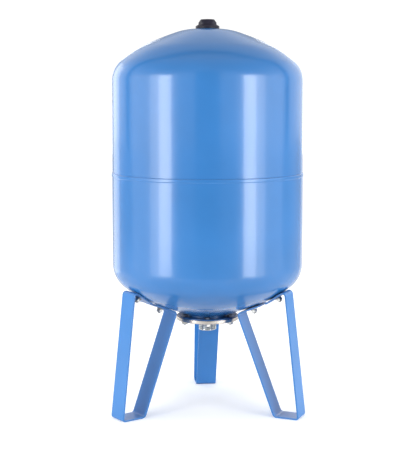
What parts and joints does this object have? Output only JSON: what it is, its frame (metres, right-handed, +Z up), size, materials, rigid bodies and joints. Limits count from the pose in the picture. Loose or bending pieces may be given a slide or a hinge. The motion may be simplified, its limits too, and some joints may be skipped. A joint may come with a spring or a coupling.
{
  "type": "well pressure tank",
  "caption": "Upright blue steel pressure tank with domed ends and a belt seam, on folded strip legs, with a bolted zinc flange and pipe nipple below and a black valve cap on top.",
  "frame": {"origin": "on the floor under the middle of the part's outline; the tank's own axis stands 12 mm in front of it, at y = -0.012, because the back foot reaches out behind", "axes": "+Z up, -Y towards the viewer of the picture, +X to the viewer's right"},
  "size_m": [0.455, 0.4757, 0.9215],
  "materials": {
    "upper_shell_blue": "glossy blue coat",
    "lower_shell_blue": "glossy blue coat",
    "neck_blue": "glossy blue coat",
    "leg_blue": "satin blue coat on steel strip",
    "bladder_rubber": "matt black rubber",
    "gasket_rubber": "matt black rubber",
    "pan_zinc": "bright zinc plate with a faint yellow and blue cast",
    "nipple_zinc": "bright zinc plate",
    "screw_zinc": "zinc plate",
    "leg_screw_zinc": "zinc plate",
    "boss_steel": "plain turned steel",
    "valve_brass": "turned brass",
    "cover_cap_black": "moulded black plastic, slightly shiny"
  },
  "bodies": {
    "tank": {"upper_shell": "upper_shell_blue", "lower_shell": "lower_shell_blue", "neck_flange": "neck_blue", "bladder": "bladder_rubber", "counter_flange": "pan_zinc", "nipple": "nipple_zinc", "flange_bolt_1": "screw_zinc", "flange_bolt_2": "screw_zinc", "flange_bolt_3": "screw_zinc", "flange_bolt_4": "screw_zinc", "flange_bolt_5": "screw_zinc", "flange_bolt_6": "screw_zinc", "flange_nut_1": "screw_zinc", "flange_nut_2": "screw_zinc", "flange_nut_3": "screw_zinc", "flange_nut_4": "screw_zinc", "flange_nut_5": "screw_zinc", "flange_nut_6": "screw_zinc", "leg_back": "leg_blue", "leg_left": "leg_blue", "leg_right": "leg_blue", "leg_stud_back_outer": "leg_screw_zinc", "leg_stud_back_inner": "leg_screw_zinc", "leg_stud_left_outer": "leg_screw_zinc", "leg_stud_left_inner": "leg_screw_zinc", "leg_stud_right_outer": "leg_screw_zinc", "leg_stud_right_inner": "leg_screw_zinc", "leg_washer_back_outer": "leg_screw_zinc", "leg_washer_back_inner": "leg_screw_zinc", "leg_washer_left_outer": "leg_screw_zinc", "leg_washer_left_inner": "leg_screw_zinc", "leg_washer_right_outer": "leg_screw_zinc", "leg_washer_right_inner": "leg_screw_zinc", "leg_nut_back_outer": "leg_screw_zinc", "leg_nut_back_inner": "leg_screw_zinc", "leg_nut_left_outer": "leg_screw_zinc", "leg_nut_left_inner": "leg_screw_zinc", "leg_nut_right_outer": "leg_screw_zinc", "leg_nut_right_inner": "leg_screw_zinc", "valve_stem": "valve_brass", "valve_gasket": "gasket_rubber", "valve_nut": "valve_brass", "valve_core": "valve_brass", "valve_boss": "boss_steel"},
    "cap": {"cover_cap": "cover_cap_black"}
  },
  "joints": [
    {"name": "cap_lift", "type": "slide", "parent": "tank", "child": "cap", "axis": [0, 0, 1], "range_m": [0, 0.04]}
  ]
}
